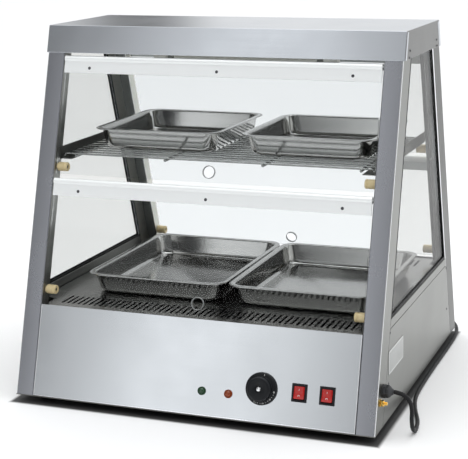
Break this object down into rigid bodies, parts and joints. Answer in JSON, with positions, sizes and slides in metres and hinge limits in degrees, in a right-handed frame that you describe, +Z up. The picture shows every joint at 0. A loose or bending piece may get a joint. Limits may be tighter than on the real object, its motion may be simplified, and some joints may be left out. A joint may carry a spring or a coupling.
{
  "type": "hot food display case",
  "caption": "Counter-top heated glass display case with a tapered steel casing, flap doors, a wire shelf, a slotted warming deck and lift-out pans.",
  "frame": {"origin": "on the floor under the middle of the casing", "axes": "+Z up, -Y towards the side with the controls, +X to the right of someone facing the controls"},
  "size_m": [0.7039, 0.7118, 0.64],
  "materials": {
    "post_steel": "satin stainless sheet, slightly blue",
    "panel_steel": "satin stainless sheet",
    "side_steel": "satin stainless sheet, grey",
    "rail_aluminium": "bright anodised extrusion",
    "pan_steel": "polished pressed stainless",
    "dark_steel": "dull, darkened by heat",
    "chrome_wire": "bright plated wire",
    "glass": "clear tempered, polished edges",
    "nylon": "natural nylon, yellowed",
    "black_plastic": "semi-matt black",
    "red_plastic": "translucent red, glossy",
    "green_lens": "dark green lens, unlit",
    "amber_lens": "amber lens, lit dimly",
    "rubber": "matt black",
    "brass": "bright brass",
    "white_ceramic": "off-white insulation"
  },
  "bodies": {
    "case": {"base_plate": "dark_steel", "bumper_front_lower_left": "nylon", "bumper_front_lower_right": "nylon", "bumper_front_upper_left": "nylon", "bumper_front_upper_right": "nylon", "bumper_rear_lower_left": "nylon", "bumper_rear_lower_right": "nylon", "bumper_rear_upper_left": "nylon", "bumper_rear_upper_right": "nylon", "cable_gland": "black_plastic", "ceiling_plate": "side_steel", "cord_coil": "rubber", "deck_plate": "dark_steel", "earth_bolt": "brass", "foot_front_left": "rubber", "foot_front_right": "rubber", "foot_rear_left": "rubber", "foot_rear_right": "rubber", "front_panel": "panel_steel", "header_cover": "panel_steel", "heating_element": "dark_steel", "indicator_lamp_amber": "amber_lens", "indicator_lamp_green": "green_lens", "lamp_holder": "white_ceramic", "lamp_tube": "white_ceramic", "post_front_left": "post_steel", "post_front_right": "post_steel", "post_rear_left": "post_steel", "post_rear_right": "post_steel", "power_cord": "rubber", "power_plug": "rubber", "rear_panel": "panel_steel", "shelf_bracket_left": "dark_steel", "shelf_bracket_right": "dark_steel", "side_glass_left": "glass", "side_glass_right": "glass", "side_panel_left": "side_steel", "side_panel_right": "side_steel", "side_rail_left": "side_steel", "side_rail_right": "side_steel", "switch_body_heat": "black_plastic", "switch_body_light": "black_plastic", "terminal_block": "white_ceramic", "thermostat_body": "white_ceramic"},
    "front_upper_flap": {"flap_rail_front_upper": "rail_aluminium", "flap_glass_front_upper": "glass"},
    "front_lower_flap": {"flap_rail_front_lower": "rail_aluminium", "flap_glass_front_lower": "glass"},
    "rear_upper_flap": {"flap_rail_rear_upper": "rail_aluminium", "flap_glass_rear_upper": "glass"},
    "rear_lower_flap": {"flap_rail_rear_lower": "rail_aluminium", "flap_glass_rear_lower": "glass"},
    "knob": {"thermostat_knob": "black_plastic"},
    "heat_rocker": {"switch_rocker_heat": "red_plastic"},
    "light_rocker": {"switch_rocker_light": "red_plastic"},
    "shelf": {"wire_shelf": "chrome_wire"},
    "upper_left_pan": {"pan_upper_left": "pan_steel"},
    "upper_right_pan": {"pan_upper_right": "pan_steel"},
    "lower_left_pan": {"pan_lower_left": "pan_steel"},
    "lower_right_pan": {"pan_lower_right": "pan_steel"}
  },
  "joints": [
    {"name": "front_upper_flap_hinge", "type": "hinge", "parent": "case", "child": "front_upper_flap", "pos_m": [0, -0.12705, 0.58186], "axis": [-1, 0, 0], "range_deg": [0, 100]},
    {"name": "front_lower_flap_hinge", "type": "hinge", "parent": "case", "child": "front_lower_flap", "pos_m": [0, -0.18895, 0.37286], "axis": [-1, 0, 0], "range_deg": [0, 100]},
    {"name": "rear_upper_flap_hinge", "type": "hinge", "parent": "case", "child": "rear_upper_flap", "pos_m": [0, 0.12705, 0.58186], "axis": [1, 0, 0], "range_deg": [0, 100]},
    {"name": "rear_lower_flap_hinge", "type": "hinge", "parent": "case", "child": "rear_lower_flap", "pos_m": [0, 0.18895, 0.37286], "axis": [1, 0, 0], "range_deg": [0, 100]},
    {"name": "thermostat_turn", "type": "hinge", "parent": "case", "child": "knob", "pos_m": [0.128, -0.28371, 0.067], "axis": [0, 0.9588, -0.284], "range_deg": [0, 270]},
    {"name": "heat_switch_tip", "type": "hinge", "parent": "case", "child": "heat_rocker", "pos_m": [0.1935, -0.28371, 0.067], "axis": [1, 0, 0], "range_deg": [0, 16]},
    {"name": "light_switch_tip", "type": "hinge", "parent": "case", "child": "light_rocker", "pos_m": [0.241, -0.28371, 0.067], "axis": [1, 0, 0], "range_deg": [0, 16]},
    {"name": "shelf_lift", "type": "slide", "parent": "case", "child": "shelf", "axis": [0, 0, 1], "range_m": [0, 0.025]},
    {"name": "upper_left_pan_lift", "type": "slide", "parent": "shelf", "child": "upper_left_pan", "axis": [0, 0, 1], "range_m": [0, 0.06]},
    {"name": "upper_right_pan_lift", "type": "slide", "parent": "shelf", "child": "upper_right_pan", "axis": [0, 0, 1], "range_m": [0, 0.06]},
    {"name": "lower_left_pan_lift", "type": "slide", "parent": "case", "child": "lower_left_pan", "axis": [0, 0, 1], "range_m": [0, 0.06]},
    {"name": "lower_right_pan_lift", "type": "slide", "parent": "case", "child": "lower_right_pan", "axis": [0, 0, 1], "range_m": [0, 0.06]}
  ]
}
